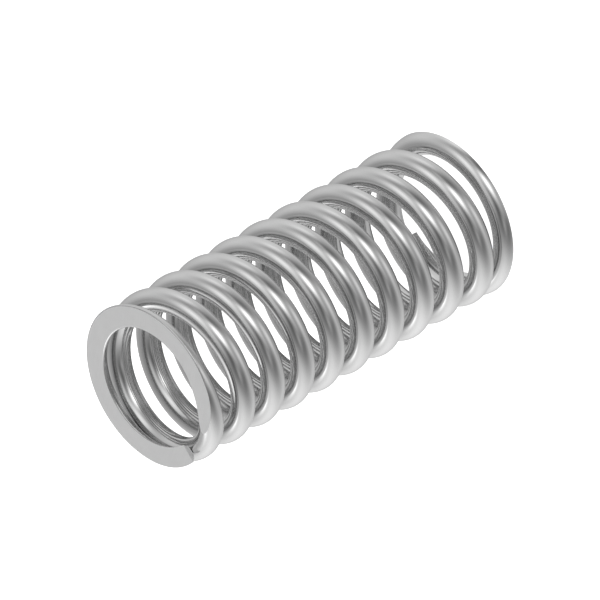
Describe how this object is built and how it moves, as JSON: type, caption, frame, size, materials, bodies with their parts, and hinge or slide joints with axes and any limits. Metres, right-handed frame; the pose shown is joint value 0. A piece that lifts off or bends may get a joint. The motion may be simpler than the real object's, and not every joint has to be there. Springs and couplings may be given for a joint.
{
  "type": "compression spring",
  "caption": "Helical compression spring of round steel wire with closed ends ground flat, for a push load along its axis.",
  "frame": {"origin": "centre of the lower ground face, on the axis of the coil", "axes": "+Z along the axis of the coil from the lower ground face to the upper one; +Y towards the tip of the wire on the lower face"},
  "size_m": [0.0145, 0.0144, 0.0344],
  "materials": {
    "spring_wire": "satin drawn wire, its end faces ground flat"
  },
  "bodies": {
    "root": {"coil_spring": "spring_wire"}
  },
  "joints": []
}
